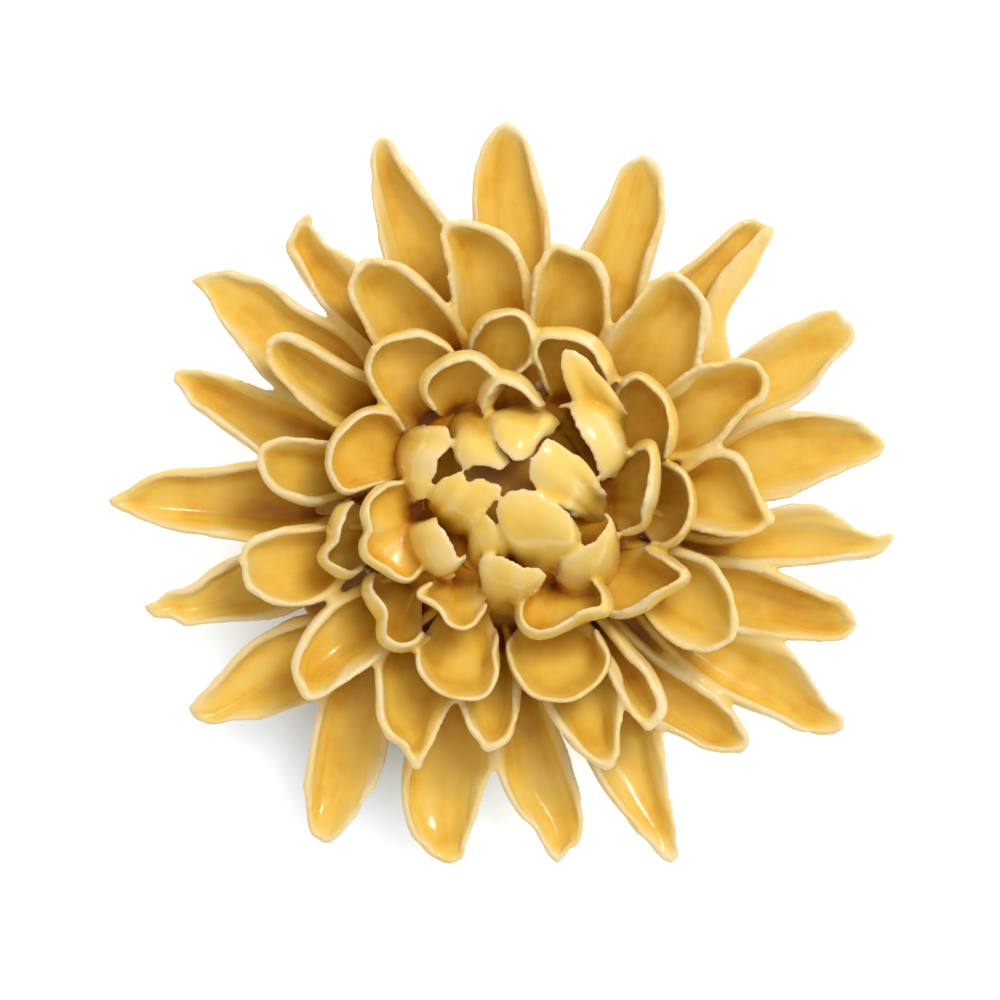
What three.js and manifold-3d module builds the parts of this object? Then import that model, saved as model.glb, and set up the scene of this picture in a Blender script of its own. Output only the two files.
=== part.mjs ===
// A hand-built, glazed ceramic chrysanthemum ornament that lies on its flat back.
// Sizes are real ones in millimetres and angles are in degrees.
// +Z points out of the flower's face, and the origin is under its middle, on the surface that it lies on.
import * as THREE from 'three';
import { mergeVertices } from 'three/addons/utils/BufferGeometryUtils.js';
import Module from 'manifold-3d';

const CLAY = 1.9; // thickness of a petal's strip along its keel
const RIM = 1.15; // thickness of the strip at its rims
const SINK = 1.5; // depth of a leaning petal's root under the dome's skin
const CORE_SIDES = 30;
const SMALLEST_FACET = 0.05; // flatter detail than this is joined to its neighbours

// The core's profile from the back disc up the dome, as radius and height.
const CORE = [
  [0, 0],
  [30, 0],
  [33, 2.5],
  [33, 5.5],
  [27, 9.5],
  [20, 14.5],
  [15, 18.5],
  [11, 22.5],
  [7, 25.5],
  [0, 26.5],
];

// What the petals of one row share. root and foot say where the keel starts and top how high it ends;
// rise and curl are its slopes at the two ends; cup is the angle that the cross-section bends through,
// below zero where the petal leans in and shows its back; blunt squares the tip; wide is the share of
// the length at which the petal is widest, and neck the share of the width that its root has.
const ROWS = {
  outer: { root: 27, foot: 6.5, top: 13, rise: 0, curl: 24, cup: 105, blunt: 2.8, wide: 0.6, neck: 0.66 },
  second: { root: 20, foot: 11, top: 21, rise: 4, curl: 50, cup: 125, blunt: 3.4, wide: 0.6, neck: 0.6 },
  third: { root: 15.5, foot: 15.5, top: 28.5, rise: 10, curl: 68, cup: 130, blunt: 4, wide: 0.6, neck: 0.6 },
  fourth: { root: 12, foot: 19, top: 34, rise: 30, curl: 85, cup: 135, blunt: 4, wide: 0.6, neck: 0.6 },
  leaning: { root: 15, top: 36, rise: 85, curl: 8, cup: -75, blunt: 7, wide: 0.5, neck: 0.85 },
};

// Where along a petal of each row its cross-sections stand, as shares of the keel.
const STATIONS = {
  outer: [0, 0.3, 0.55, 0.78, 0.92, 0.985],
  second: [0, 0.35, 0.65, 0.87, 0.98],
  third: [0, 0.35, 0.65, 0.87, 0.98],
  fourth: [0, 0.4, 0.75, 0.95],
  leaning: [0, 0.4, 0.75, 0.95],
};

// One line a petal: bearing and reach place its tip, anticlockwise from +X; swing turns its root away
// from the tip's bearing; roll tips the strip over; sweep bends its end sideways; slant skews its tip;
// fold is side, place, spread and angle of a rim that is folded in.
const PETALS = [
  // outer row
  { row: 'outer', bearing: 89.5, reach: 58.8, width: 15.5 },
  { row: 'outer', bearing: 67, reach: 58.6, width: 14.5, swing: -10, sweep: 1 },
  { row: 'outer', bearing: 44, reach: 60.5, width: 14.5, roll: -15, blunt: 4, slant: -2 },
  { row: 'outer', bearing: 26, reach: 61.5, width: 14, curl: 50, blunt: 4.5, slant: 1 },
  { row: 'outer', bearing: 7.5, reach: 61.3, width: 16.5, swing: -3, fold: [1, 0.8, 0.25, 50] },
  { row: 'outer', bearing: -5.3, reach: 63.6, width: 13.5, roll: -15, sweep: -1.5, blunt: 2, wide: 0.35 },
  { row: 'outer', bearing: -20.5, reach: 59.3, width: 15, swing: -8, curl: 40, cup: 140, blunt: 6 },
  { row: 'outer', bearing: -35, reach: 65, width: 15.5, blunt: 3, slant: 2 },
  { row: 'outer', bearing: -46.5, reach: 55.5, width: 15, swing: -12, cup: 170, roll: 20 },
  { row: 'outer', bearing: -65.5, reach: 64, width: 14, roll: -12, blunt: 2.2 },
  { row: 'outer', bearing: -81.5, reach: 59.6, width: 15, swing: -6, blunt: 2.2 },
  { row: 'outer', bearing: -98, reach: 59.6, width: 16, swing: -10 },
  { row: 'outer', bearing: -117.5, reach: 62.3, width: 15.5, swing: -10, cup: 80 },
  { row: 'outer', bearing: -144.5, reach: 61, width: 15, swing: 12, roll: -10 },
  { row: 'outer', bearing: -161.5, reach: 59, width: 14.5, swing: 8, cup: 130, blunt: 2.2 },
  { row: 'outer', bearing: -178.5, reach: 63.2, width: 14.5, swing: 0, blunt: 2.2 },
  { row: 'outer', bearing: 161.5, reach: 55.2, width: 13.5, swing: 6, roll: -12, blunt: 3 },
  { row: 'outer', bearing: 145.5, reach: 60, width: 15.5, swing: 3 },
  { row: 'outer', bearing: 127, reach: 54.5, width: 10.8, swing: 2, blunt: 2.4 },
  { row: 'outer', bearing: 109.2, reach: 59.8, width: 13.8, swing: -4, roll: -10 },
  // second row
  { row: 'second', bearing: 97.5, reach: 42, width: 16.5, swing: -8, curl: 80, blunt: 3.5, slant: 1.5 },
  { row: 'second', bearing: 76, reach: 39.5, width: 16.5, swing: -14, blunt: 3.5 },
  { row: 'second', bearing: 47, reach: 43, width: 17, swing: -6, blunt: 4, slant: -2 },
  { row: 'second', bearing: 22, reach: 43.5, width: 16, swing: 0, curl: 90, blunt: 6 },
  { row: 'second', bearing: -1, reach: 41.5, width: 18, blunt: 4, slant: -3 },
  { row: 'second', bearing: -31, reach: 42, width: 16.5, swing: 3 },
  { row: 'second', bearing: -58, reach: 43, width: 13.5, swing: 10, cup: 190, roll: 30 },
  { row: 'second', bearing: -70, reach: 45, width: 15.5, blunt: 2.4 },
  { row: 'second', bearing: -93.5, reach: 40.3, width: 14, blunt: 2.4 },
  { row: 'second', bearing: -108, reach: 44.5, width: 16, swing: -14, blunt: 2.6, fold: [-1, 0.85, 0.25, 60] },
  { row: 'second', bearing: -136, reach: 44, width: 16, swing: 6 },
  { row: 'second', bearing: -164, reach: 42, width: 17, swing: 12 },
  { row: 'second', bearing: 171, reach: 38.5, width: 16 },
  { row: 'second', bearing: 149, reach: 43.5, width: 14.5, swing: 8, curl: 45 },
  { row: 'second', bearing: 123, reach: 42, width: 16.5, blunt: 3.5 },
  // third row
  { row: 'third', bearing: 90, reach: 28, width: 13.5, cup: 150, roll: 20 },
  { row: 'third', bearing: 66, reach: 28, width: 18, curl: 125 },
  { row: 'third', bearing: 21.5, reach: 29, width: 18, slant: -2 },
  { row: 'third', bearing: -6, reach: 31, width: 18, curl: 90 },
  { row: 'third', bearing: -30, reach: 30.5, width: 16, roll: -15 },
  { row: 'third', bearing: -75, reach: 33.5, width: 20, curl: 90, blunt: 4 },
  { row: 'third', bearing: -101, reach: 33, width: 17, blunt: 3.5 },
  { row: 'third', bearing: -126, reach: 30, width: 15, roll: -15, fold: [-1, 0.6, 0.4, 70] },
  { row: 'third', bearing: -162, reach: 30.5, width: 16, roll: -15 },
  { row: 'third', bearing: 166, reach: 28.5, width: 17 },
  { row: 'third', bearing: 124, reach: 30, width: 17.5 },
  // fourth row
  { row: 'fourth', bearing: 108, reach: 22.5, width: 16, curl: 100, fold: [1, 0.8, 0.35, 70] },
  { row: 'fourth', bearing: 77, reach: 17.5, width: 15, curl: 135 },
  { row: 'fourth', bearing: -3, reach: 25, width: 17, curl: 100 },
  { row: 'fourth', bearing: -69, reach: 24.5, width: 18, curl: 90 },
  { row: 'fourth', bearing: -107, reach: 22, width: 15, curl: 90 },
  { row: 'fourth', bearing: -164, reach: 24.5, width: 18, curl: 95 },
  // leaning row
  { row: 'leaning', bearing: 65.9, reach: 24.1, width: 11, root: 20.9, swing: -42.2, top: 35, rise: 60, curl: 10, cup: -80, blunt: 2.2 },
  { row: 'leaning', bearing: 30.4, reach: 14.3, width: 14, root: 21.8, swing: -7.7, top: 36 },
  { row: 'leaning', bearing: -30, reach: 13.6, width: 13, root: 22, swing: -7.4, top: 33 },
  { row: 'leaning', bearing: -81.5, reach: 11.2, width: 13, root: 19.4, swing: -7.8, top: 34 },
  { row: 'leaning', bearing: 154.8, reach: 10.7, width: 15, root: 17.5, swing: 17.8, top: 35 },
  { row: 'leaning', bearing: -140.1, reach: 10.6, width: 13, root: 18.6, swing: -2.4, top: 33 },
  { row: 'leaning', bearing: 104, reach: 4.2, width: 10, root: 14.3, swing: 21.5, top: 37 },
  { row: 'leaning', bearing: 73.7, reach: 5.9, width: 13, root: 15.2, swing: -6.5, top: 38 },
  { row: 'leaning', bearing: 50.7, reach: 7.3, width: 11, root: 16.5, swing: -53.5, top: 38 },
  { row: 'leaning', bearing: 0, reach: 3.5, width: 15, root: 13.7, swing: -63.1, top: 37 },
  { row: 'leaning', bearing: -119.9, reach: 4.9, width: 8, root: 12.1, swing: 19.5, top: 35 },
  { row: 'leaning', bearing: 180, reach: 2.1, width: 11, root: 12.1, swing: 12.3, top: 36 },
];

const rad = (degrees) => (degrees * Math.PI) / 180;
const polar = (radius, degrees) =>
  new THREE.Vector3(radius * Math.cos(rad(degrees)), radius * Math.sin(rad(degrees)), 0);
const mix = (pairs, scale) => pairs.reduce((sum, [v, k]) => sum.addScaledVector(v, k), scale.clone());

/** Height of the dome's skin at a distance from the axis. */
function coreHeight(radius) {
  const step = CORE.findIndex(([r], i) => i > 3 && r <= radius);
  const [[outerR, outerZ], [innerR, innerZ]] = [CORE[step - 1], CORE[step]];
  return outerZ + ((outerR - radius) / (outerR - innerR)) * (innerZ - outerZ);
}

/** A petal's own numbers over those of its row. */
function complete(petal) {
  const full = { swing: 0, roll: 0, sweep: 0, slant: 0, fold: [1, 0.5, 0.3, 0], ...ROWS[petal.row], ...petal };
  if (full.foot === undefined) full.foot = coreHeight(full.root) - SINK;
  return full;
}

/** The keel is a cubic Bezier curve in an upright plane from root to tip, with a sideways sweep. */
function keel(p, s) {
  const root = polar(p.root, p.bearing + p.swing);
  const way = polar(p.reach, p.bearing).sub(root);
  const run = way.length();
  const out = way.clone().normalize();
  const left = new THREE.Vector3(-out.y, out.x, 0);
  const up = new THREE.Vector3(0, 0, 1);
  const lift = p.top - p.foot;
  const arm = 0.38 * Math.hypot(run, lift);
  const [x1, z1] = [arm * Math.cos(rad(p.rise)), arm * Math.sin(rad(p.rise))];
  const [x2, z2] = [run - arm * Math.cos(rad(p.curl)), lift - arm * Math.sin(rad(p.curl))];
  const r = 1 - s;
  const along = 3 * r * r * s * x1 + 3 * r * s * s * x2 + s ** 3 * run;
  const high = 3 * r * r * s * z1 + 3 * r * s * s * z2 + s ** 3 * lift;
  const dAlong = 3 * r * r * x1 + 6 * r * s * (x2 - x1) + 3 * s * s * (run - x2);
  const dHigh = 3 * r * r * z1 + 6 * r * s * (z2 - z1) + 3 * s * s * (lift - z2);
  root.z = p.foot;
  const point = mix([[out, along], [up, high], [left, p.sweep * s ** 3]], root);
  const ahead = mix([[out, dAlong], [up, dHigh], [left, 3 * p.sweep * s * s]], new THREE.Vector3()).normalize();
  const inner = mix([[out, -dHigh], [up, dAlong]], new THREE.Vector3()).normalize();
  const side = inner.clone().cross(ahead).normalize();
  inner.crossVectors(ahead, side);
  const [c, n] = [Math.cos(rad(p.roll)), Math.sin(rad(p.roll))];
  const across = mix([[side, c], [inner, n]], new THREE.Vector3());
  const hollow = mix([[inner, c], [side, -n]], new THREE.Vector3());
  return { point, ahead, across, hollow };
}

/** Strip width at a share of the length: grows from the neck to full width, then rounds to the tip. */
const stripWidth = (p, s) =>
  p.width *
  (p.neck + (1 - p.neck) * Math.sin((Math.PI / 2) * Math.min(1, s / p.wide))) *
  Math.sqrt(Math.max(0, 1 - s ** p.blunt));

/** The bent cross-section: sideways place, depth and slope at each of the shares v in -1..1. */
function section(p, s, shares) {
  const steps = 40;
  const [side, at, spread, angle] = p.fold;
  const open = 1 - 0.75 * s ** 4;
  const bump = Math.exp(-(((s - at) / spread) ** 2));
  const slope = (v) =>
    (v * open * rad(p.cup)) / 2 +
    side * Math.sign(p.cup) * rad(angle) * bump * Math.max(0, (side * v - 0.45) / 0.55) ** 1.5;
  const w = stripWidth(p, s);
  return shares.map((v) => {
    let [x, y] = [0, 0];
    for (let i = 0; i < steps; i++) {
      const a = slope(((i + 0.5) / steps) * v);
      x += Math.cos(a);
      y += Math.sin(a);
    }
    const k = ((v / steps) * w) / 2;
    return { v, x: x * k, y: y * k, a: slope(v) };
  });
}

/** Joins rings of points to one closed skin with a fan at each end. */
function skin(rings, first, last) {
  const count = rings[0].length;
  const points = [...rings.flat(), first, last];
  const faces = [];
  const [a, z] = [points.length - 2, points.length - 1];
  for (let i = 0; i < count; i++) {
    const j = (i + 1) % count;
    faces.push(a, i, j);
    for (let k = 0; k + 1 < rings.length; k++) {
      const [p, q] = [k * count + i, k * count + j];
      faces.push(p, q + count, q, p, p + count, q + count);
    }
    faces.push(z, (rings.length - 1) * count + j, (rings.length - 1) * count + i);
  }
  return new THREE.BufferGeometry().setFromPoints(points).setIndex(faces);
}

/** One petal as a strip of clay with thinner rims. */
function petalSkin(p) {
  const stations = STATIONS[p.row];
  const shares = p.row === 'leaning' ? [-1, -0.4, 0.4, 1] : [-1, -0.55, 0, 0.55, 1];
  const rings = stations.map((s) => {
    const { point, ahead, across, hollow } = keel(p, s);
    const line = section(p, s, shares).map(({ v, x, y, a }) => {
      const edge = Math.max(Math.abs(v), s ** 4);
      const half = (RIM + (CLAY - RIM) * Math.min(1, Math.sqrt(Math.max(0, 1 - edge) / 0.35))) / 2;
      const mid = mix([[across, x], [hollow, y], [ahead, (p.slant * x * s * s) / (p.width / 2)]], point);
      const normal = mix([[hollow, Math.cos(a)], [across, -Math.sin(a)]], new THREE.Vector3());
      return { mid, normal, half };
    });
    const top = line.map(({ mid, normal, half }) => mid.clone().addScaledVector(normal, half));
    const back = line.map(({ mid, normal, half }) => mid.clone().addScaledVector(normal, -half));
    return [...top, ...back.reverse()];
  });
  const end = keel(p, 1);
  return skin(rings, keel(p, 0).point, end.point.clone().addScaledVector(end.ahead, RIM / 2));
}

/** The back disc and the dome in one turned body. */
function coreSkin() {
  const profile = CORE.map(([r, z]) => new THREE.Vector2(r, z));
  return new THREE.LatheGeometry(profile, CORE_SIDES).rotateX(Math.PI / 2);
}

const wasm = await Module();
wasm.setup();

/** A closed three.js geometry as a solid that can be joined and cut. */
function solid(shape) {
  shape.deleteAttribute('normal');
  shape.deleteAttribute('uv');
  const { attributes, index } = mergeVertices(shape, 1e-3);
  return new wasm.Manifold(
    new wasm.Mesh({
      numProp: 3,
      vertProperties: attributes.position.array,
      triVerts: new Uint32Array(index.array),
    }),
  );
}

// The petals' roots close off small pockets that glaze fills in the kiln, so only the outer skin is kept.
const joined = PETALS.map((petal) => solid(petalSkin(complete(petal))))
  .reduce((sum, petal) => sum.add(petal), solid(coreSkin()))
  .simplify(SMALLEST_FACET)
  .decompose();
const body = joined.reduce((most, shell) => (shell.volume() > most.volume() ? shell : most));

const made = body.getMesh();
let geometry = new THREE.BufferGeometry();
geometry.setAttribute('position', new THREE.BufferAttribute(made.vertProperties, 3));
geometry.setIndex(new THREE.BufferAttribute(made.triVerts, 1));
geometry = mergeVertices(geometry, 1e-3);
geometry.computeVertexNormals();

const flower = new THREE.Mesh(geometry, new THREE.MeshStandardMaterial({ color: 0xdba83a, roughness: 0.25 }));
flower.name = 'ceramic_chrysanthemum';

const ornament = new THREE.Group();
ornament.name = 'glazed_ceramic_chrysanthemum';
ornament.add(flower);

export default ornament;
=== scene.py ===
import math

import bmesh
import bpy
import numpy as np
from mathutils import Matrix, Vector


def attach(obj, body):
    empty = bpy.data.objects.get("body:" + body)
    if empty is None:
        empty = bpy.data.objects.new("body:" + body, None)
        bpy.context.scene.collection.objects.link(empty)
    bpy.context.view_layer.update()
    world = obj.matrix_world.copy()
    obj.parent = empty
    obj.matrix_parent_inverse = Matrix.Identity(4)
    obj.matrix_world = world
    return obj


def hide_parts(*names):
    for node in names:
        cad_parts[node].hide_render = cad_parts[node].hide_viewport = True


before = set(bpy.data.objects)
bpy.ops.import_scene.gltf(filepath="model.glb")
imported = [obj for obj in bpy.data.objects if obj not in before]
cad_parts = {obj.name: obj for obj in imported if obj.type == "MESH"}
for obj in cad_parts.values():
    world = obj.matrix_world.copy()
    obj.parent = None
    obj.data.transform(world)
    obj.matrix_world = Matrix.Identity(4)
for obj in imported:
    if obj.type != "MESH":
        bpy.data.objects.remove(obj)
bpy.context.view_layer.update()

# Sizes are in millimetres and angles in degrees; a mesh is scaled to metres when it is made.
MM = 0.001
CLAY = 1.8  # thickness of a petal away from its rims
THINNING = 5.5  # distance from the rim over which the strip thins
BAND = 2.4  # thickness of the dome's skin where it carries petals
SINK = 1.5  # depth of a leaning petal's root under the dome's skin
COARSE = 1  # the grain is doubled while trying things
FILLET = 2.2  # radius to which glaze fills a crease
FILL_ROUNDS = 30
SMOOTH_ROUNDS = 3
EDGE_REACH = 0.9  # distances over which the skin is smoothed to find its edges and its hollows
POOL_REACH = 3.4
JOINT_REACH = 5  # height above the dome up to which glaze gathers, and shade is painted, at the joints
DOME_REACH = 36  # radius at which the dome's joints end
NOTED = 6  # distance from the rim up to which it is noted, counted in roughly the lip's thickness
PROUD = 0.13  # how far an edge stands proud, and a hollow lies below, to count in full
SUNK = 0.9
BARE = 1.2  # height below which the back is unglazed
VOXEL = {"outer": 0.45, "second": 0.5, "third": 0.38, "heart": 0.38}  # grain of the fused skins
SEED = 7

# The camera looks straight down from its place, and the frame is square.
CAMERA = (-0.57, -1.30, 688)
LENS = 150
SENSOR = 36
FRAME = 1000  # pixels across
INSET = 3  # pixels by which a rim is drawn in from the outer edge of its lip
CURL_INSET = 0.09  # and more for each degree by which it curls past STEEP
STEEP = 80

# The core's profile up the dome, as radius and height, and the back disc below it.
DOME = [(33, 5.5), (27, 9.5), (20, 15.5), (15, 21), (11, 25), (7, 27.5), (0, 28)]
BACK = [(0, 0), (30, 0), (34, 2.5), (38, 4.8), (37.6, 6), (33.5, 6.3)]

# The petals of the two lower rows are channels. left and right are the two rims from the base to the
# tip, as they are seen from the tip's left and right hand, and keel is the floor between them, all as
# pixels x, y of the photograph's frame, read one by one, the rims along the outer edge of their lips. curl
# gives the slopes with which the two walls end, past 90 where a rim hooks back over the hollow, and
# inset, where the rule for it doesn't fit, how many pixels the left and the right rim are drawn in.
OUTER = [
    dict(
        left=[(478, 305), (470, 245), (470, 195), (476, 160), (484, 140), (493, 129)],
        right=[(548, 305), (551, 245), (546, 200), (537, 168), (530, 148), (520, 131)],
        keel=[(513, 318), (510, 240), (508, 180)],
        tip=(506, 123), curl=(60, 112),
    ),
    dict(
        left=[(566, 325), (573, 262), (590, 225), (605, 195), (620, 170), (630, 160)],
        right=[(634, 340), (646, 290), (656, 250), (664, 222), (666, 200), (662, 175), (655, 161)],
        keel=[(600, 345), (622, 270), (640, 200)],
        tip=(645, 156), curl=(50, 115),
    ),
    dict(
        left=[(650, 302), (675, 272), (700, 252), (720, 236), (737, 223), (752, 219)],
        right=[(697, 336), (707, 294), (724, 268), (746, 244), (760, 231)],
        keel=[(668, 318), (699, 278), (733, 240)],
        tip=(773, 227), curl=(60, 175), arm=(0.45, 1.9), depth=3.2, front=14, inset=(3, 0),
    ),
    dict(
        left=[(700, 388), (735, 353), (765, 334), (795, 319), (820, 310), (834, 309)],
        right=[(735, 430), (775, 413), (800, 401), (818, 386), (832, 365), (846, 349), (853, 334)],
        keel=[(698, 412), (770, 374), (828, 336)],
        tip=(844, 317), curl=(35, 80), depth=4,
    ),
    dict(
        left=[(715, 442), (745, 424), (775, 413), (805, 410), (835, 415), (862, 424), (877, 434)],
        right=[(735, 506), (775, 502), (805, 493), (835, 478), (860, 467), (878, 458)],
        keel=[(712, 472), (780, 452), (850, 446)],
        tip=(884, 446), curl=(85, 55),
    ),
    dict(
        left=[(735, 530), (762, 509), (795, 500), (822, 504), (845, 518), (865, 530), (880, 536)],
        right=[(715, 566), (770, 567), (810, 567), (845, 561), (875, 556), (889, 546)],
        keel=[(712, 548), (790, 545), (860, 549)],
        tip=(894, 535), curl=(30, 125), depth=4, front=4,
    ),
    dict(
        left=[(695, 562), (725, 556), (760, 566), (795, 579), (825, 592), (845, 603)],
        right=[(700, 628), (745, 637), (790, 641), (830, 644), (846, 641), (853, 631)],
        keel=[(690, 592), (760, 604), (832, 620)],
        tip=(853, 618), curl=(122, 60), depth=6,
    ),
    dict(
        left=[(735, 622), (770, 636), (790, 646), (805, 663), (818, 687), (830, 706)],
        right=[(668, 655), (700, 683), (735, 704), (775, 719), (800, 732), (822, 736), (838, 730)],
        keel=[(692, 640), (745, 672), (805, 708)],
        tip=(842, 717), curl=(40, 112),
    ),
    dict(
        left=[(655, 653), (685, 671), (712, 691), (733, 712), (744, 730), (747, 741)],
        right=[(630, 715), (663, 731), (685, 740), (705, 749), (725, 752)],
        keel=[(640, 682), (680, 710), (722, 742)],
        tip=(743, 750), curl=(128, 75), depth=6,
    ),
    dict(
        left=[(660, 700), (665, 735), (668, 765), (671, 790), (676, 815), (679, 840), (679, 852)],
        right=[(583, 750), (597, 780), (612, 802), (630, 824), (645, 842), (656, 855), (664, 861)],
        keel=[(625, 712), (642, 780), (664, 842)],
        tip=(672, 861), curl=(40, 112), front=4,
    ),
    dict(
        left=[(558, 725), (570, 755), (578, 780), (584, 805), (584, 825), (578, 842), (568, 852)],
        right=[(493, 735), (494, 768), (501, 790), (512, 807), (526, 822), (538, 838), (547, 853)],
        keel=[(525, 715), (542, 785), (557, 845)],
        tip=(556, 863), curl=(70, 65),
    ),
    dict(
        left=[(495, 735), (494, 768), (487, 785), (483, 800), (477, 820), (468, 842), (460, 857)],
        right=[
            (408, 735), (403, 768), (401, 795), (403, 812), (409, 828), (419, 844), (431, 856), (442, 862),
        ],
        keel=[(450, 715), (447, 790), (450, 845)],
        tip=(452, 862), curl=(60, 108),
    ),
    dict(
        left=[(395, 725), (388, 757), (380, 780), (372, 795), (362, 810), (350, 826), (339, 837)],
        right=[(322, 690), (313, 725), (307, 765), (304, 800), (306, 820), (313, 834)],
        keel=[(362, 688), (338, 765), (326, 825)],
        tip=(325, 841), curl=(55, 90),
    ),
    dict(
        left=[(325, 700), (292, 712), (262, 720), (235, 723), (213, 727), (199, 722)],
        right=[
            (330, 612), (300, 618), (268, 632), (250, 642), (235, 655), (220, 672), (208, 688), (196, 701),
        ],
        keel=[(330, 655), (262, 684), (207, 712)],
        tip=(190, 710), curl=(45, 120), front=4,
    ),
    dict(
        left=[(290, 615), (255, 624), (225, 624), (200, 626), (185, 627), (170, 619), (155, 618)],
        right=[
            (270, 545), (243, 553), (225, 561), (210, 571), (198, 582), (183, 588), (170, 591), (157, 598),
        ],
        keel=[(275, 588), (220, 603), (165, 609)],
        tip=(146, 606), curl=(60, 120), front=4,
    ),
    dict(
        left=[(275, 548), (245, 543), (220, 540), (200, 538), (175, 533), (150, 525), (130, 515)],
        right=[(275, 462), (240, 463), (220, 467), (195, 468), (170, 470), (150, 477), (130, 487)],
        keel=[(280, 512), (200, 506), (130, 502)],
        tip=(109, 501), curl=(55, 120), depth=6, front=4,
    ),
    dict(
        left=[(285, 475), (250, 449), (235, 437), (220, 427), (205, 416), (190, 404), (180, 391)],
        right=[(300, 395), (262, 386), (245, 380), (225, 373), (205, 369), (190, 368), (181, 370)],
        keel=[(300, 432), (245, 410), (192, 384)],
        tip=(175, 378), curl=(115, 50),
    ),
    dict(
        left=[(300, 410), (263, 382), (245, 358), (230, 338), (217, 323), (209, 305), (200, 291)],
        right=[
            (348, 332), (315, 313), (300, 305), (285, 293), (265, 280), (245, 273), (220, 270), (205, 275),
        ],
        keel=[(335, 368), (270, 325), (214, 288)],
        tip=(193, 281), curl=(45, 115), front=4,
    ),
    dict(
        left=[(340, 325), (318, 303), (305, 283), (295, 264), (288, 247), (292, 232), (300, 220)],
        right=[(395, 298), (362, 266), (345, 253), (330, 243), (319, 232), (312, 224)],
        keel=[(372, 335), (335, 285), (304, 236)],
        tip=(309, 215), curl=(105, 40), depth=4.5,
    ),
    dict(
        left=[(390, 300), (381, 262), (376, 235), (372, 205), (369, 180), (369, 160), (373, 146)],
        right=[
            (468, 285), (452, 228), (441, 211), (430, 195), (418, 179), (407, 165), (399, 152), (392, 143),
        ],
        keel=[(432, 308), (405, 235), (384, 165)],
        tip=(382, 140), curl=(50, 130), depth=6, inset=(3, 9),
    ),
]

SECOND = [
    dict(
        left=[(455, 335), (450, 290), (444, 255), (440, 238)],
        right=[(532, 325), (531, 292), (524, 264), (509, 241), (491, 227), (470, 222)],
        keel=[(487, 348), (480, 290), (470, 245)],
        tip=(450, 223), curl=(70, 125),
    ),
    dict(
        left=[(527, 325), (531, 292), (537, 268), (545, 253)],
        right=[(608, 335), (609, 305), (606, 276), (598, 262), (586, 254), (570, 248)],
        keel=[(567, 348), (570, 300), (568, 262)],
        tip=(557, 246), curl=(80, 120),
    ),
    dict(
        left=[(612, 322), (630, 303), (645, 288), (658, 278)],
        right=[(693, 382), (702, 358), (707, 335), (706, 310), (699, 293), (690, 282), (681, 275)],
        keel=[(628, 372), (655, 328), (678, 290)],
        tip=(670, 273), curl=(50, 115),
    ),
    dict(
        left=[(672, 380), (695, 365), (720, 361), (742, 360)],
        right=[(703, 455), (722, 443), (735, 426), (750, 410), (761, 403), (767, 388), (765, 374)],
        keel=[(688, 420), (722, 398), (750, 381)],
        tip=(757, 362), curl=(60, 95),
    ),
    dict(
        left=[(690, 462), (705, 452), (725, 449), (739, 455), (747, 470), (757, 490), (766, 507)],
        right=[(685, 528), (702, 534), (720, 538), (740, 539), (757, 533)],
        keel=[(685, 498), (722, 500), (752, 512)],
        tip=(770, 520), curl=(105, 65),
    ),
    dict(
        left=[(690, 553), (710, 561), (724, 577), (733, 597), (736, 615)],
        right=[(640, 612), (660, 635), (680, 648), (700, 654), (718, 651), (728, 643)],
        keel=[(655, 580), (690, 607), (716, 626)],
        tip=(733, 632), curl=(110, 60),
    ),
    dict(
        left=[(630, 648), (650, 670), (660, 690), (662, 705), (657, 718)],
        right=[(603, 668), (615, 692), (628, 711), (638, 723)],
        keel=[(612, 660), (633, 690), (646, 716)],
        tip=(647, 729), curl=(130, 60),
    ),
    dict(
        left=[(622, 678), (623, 705), (622, 730), (618, 750)],
        right=[(545, 702), (560, 728), (575, 748), (590, 760), (602, 765)],
        keel=[(580, 680), (594, 718), (606, 748)],
        tip=(612, 764), curl=(75, 110),
    ),
    dict(
        left=[(522, 685), (520, 705), (516, 725), (510, 738), (498, 745)],
        right=[(455, 683), (460, 703), (466, 720), (475, 736)],
        keel=[(490, 678), (490, 706), (489, 732)],
        tip=(487, 748), curl=(90, 90),
    ),
    dict(
        left=[(470, 690), (453, 706), (443, 724), (435, 742), (427, 756)],
        right=[(377, 665), (377, 692), (379, 718), (386, 734), (400, 743), (408, 754)],
        keel=[(427, 680), (420, 714), (416, 746)],
        tip=(417, 766), curl=(55, 110),
    ),
    dict(
        left=[(382, 660), (360, 675), (340, 689), (322, 697)],
        right=[(354, 590), (330, 605), (312, 624), (301, 642), (295, 660), (297, 681)],
        keel=[(352, 640), (330, 660), (311, 682)],
        tip=(308, 698), curl=(50, 118),
    ),
    dict(
        left=[(347, 580), (325, 600), (300, 608), (275, 606), (257, 595), (246, 580)],
        right=[(327, 523), (295, 526), (270, 531), (252, 541), (244, 553)],
        keel=[(328, 560), (290, 567), (258, 568)],
        tip=(242, 565), curl=(80, 100),
    ),
    dict(
        left=[(338, 500), (310, 505), (288, 498), (271, 486), (261, 470)],
        right=[(345, 440), (325, 437), (300, 435), (280, 437), (266, 443)],
        keel=[(332, 470), (297, 465), (271, 457)],
        tip=(259, 455), curl=(110, 60),
    ),
    dict(
        left=[(332, 430), (308, 413), (290, 396), (275, 377), (265, 358)],
        right=[(375, 380), (350, 367), (330, 355), (310, 344), (293, 336), (279, 336)],
        keel=[(347, 402), (315, 375), (282, 350)],
        tip=(267, 342), curl=(50, 118),
    ),
    dict(
        left=[(375, 350), (362, 326), (352, 304), (349, 285), (354, 270)],
        right=[(472, 348), (456, 318), (438, 294), (421, 278), (404, 266), (385, 260)],
        keel=[(417, 352), (392, 308), (372, 279)],
        tip=(366, 261), curl=(75, 118),
    ),
]

CHANNELS = {"outer": OUTER, "second": SECOND}

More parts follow.
